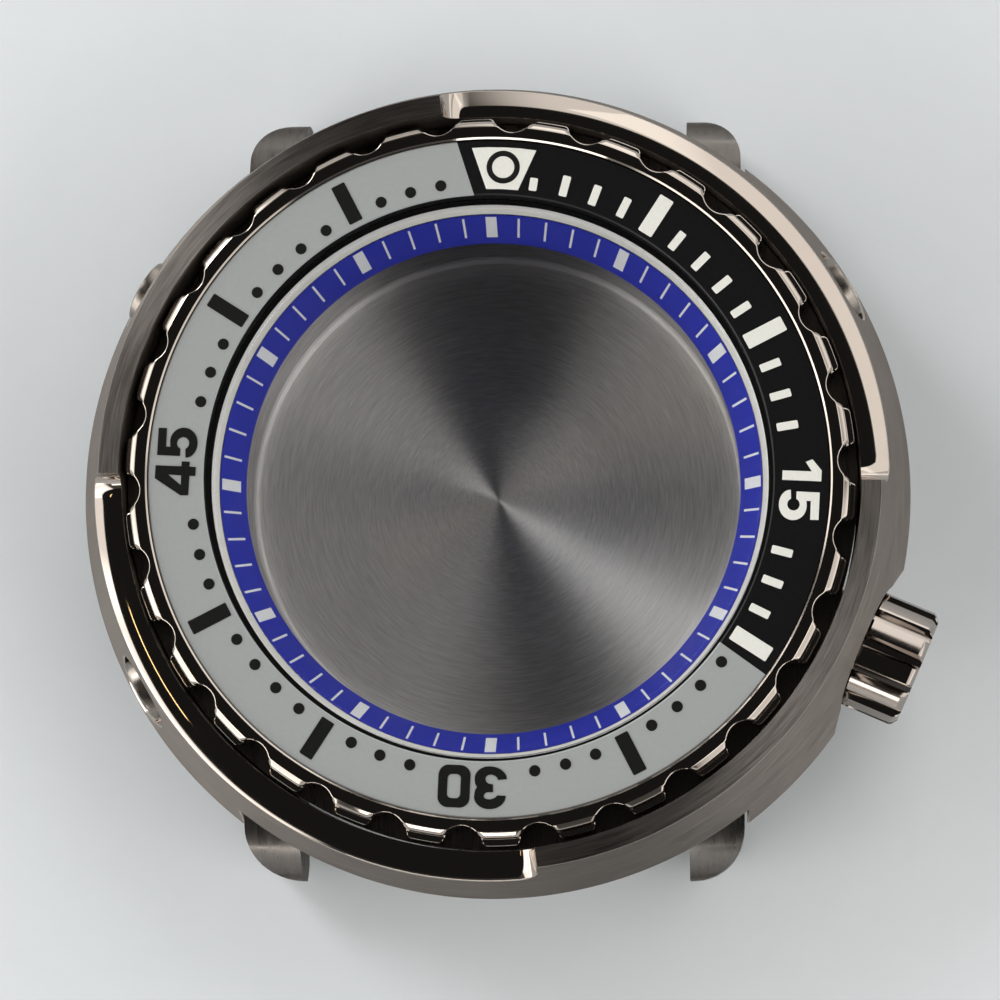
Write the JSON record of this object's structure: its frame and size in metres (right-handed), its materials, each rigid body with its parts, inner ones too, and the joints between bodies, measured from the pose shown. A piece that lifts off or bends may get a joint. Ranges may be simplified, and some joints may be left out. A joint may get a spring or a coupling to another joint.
{
  "type": "empty diver's watch case",
  "caption": "Round dark steel diver's watch case with a guard ring round a turning bezel, a screw-down crown, clear crystal and screw-in back, empty of movement, dial and hands.",
  "frame": {"origin": "middle of the case back's outer face, on the axis of the bezel and crystal", "axes": "+Z out through the crystal, +Y towards twelve o'clock, +X towards three o'clock"},
  "size_m": [0.0487, 0.0464, 0.0133],
  "materials": {
    "case_steel": "brushed, dark coated",
    "guard_steel": "high runs brushed, low runs polished, dark coated",
    "bezel_steel": "polished, dark coated",
    "crown_steel": "polished, dark coated",
    "screw_steel": "polished, dark coated",
    "back_steel": "turned in fine circles inside",
    "spring_steel": "plain",
    "insert_metal": "anodised, matte, printed scale",
    "blue_ring": "satin",
    "crystal_glass": "clear, polished",
    "seal_plastic": "plain",
    "black_rubber": "plain"
  },
  "bodies": {
    "case": {"mid_case": "case_steel", "guard_ring": "guard_steel", "guard_screw_2": "screw_steel", "guard_screw_8": "screw_steel", "guard_screw_10": "screw_steel", "crystal": "crystal_glass", "crystal_seal": "seal_plastic", "chapter_ring": "blue_ring", "crown_tube": "spring_steel", "click_spring": "spring_steel", "bezel_seal": "black_rubber"},
    "bezel": {"bezel_ring": "bezel_steel", "bezel_insert": "insert_metal"},
    "back": {"case_back": "back_steel", "case_back_seal": "black_rubber"},
    "crown_inside": {"crown_post": "spring_steel", "crown_spring": "spring_steel"},
    "crown": {"crown_cap": "crown_steel", "crown_seal": "black_rubber"}
  },
  "joints": [
    {"name": "bezel_turn", "type": "hinge", "parent": "case", "child": "bezel", "pos_m": [0, 0, 0.012], "axis": [0, 0, 1], "continuous": true},
    {"name": "case_back_lift", "type": "slide", "parent": "case", "child": "back", "axis": [0, 0, -1], "range_m": [0, 0.02]},
    {"name": "crown_slide", "type": "slide", "parent": "case", "child": "crown_inside", "axis": [0.9184, -0.3955, 0], "range_m": [0, 0.0016]},
    {"name": "crown_turn", "type": "hinge", "parent": "crown_inside", "child": "crown", "pos_m": [0.02204, -0.00949, 0.0055], "axis": [0.9184, -0.3955, 0], "range_deg": [0, 1153]}
  ],
  "couplings": [
    {"joint": "crown_turn", "follows": "crown_slide", "rad_per_m": 12566}
  ]
}
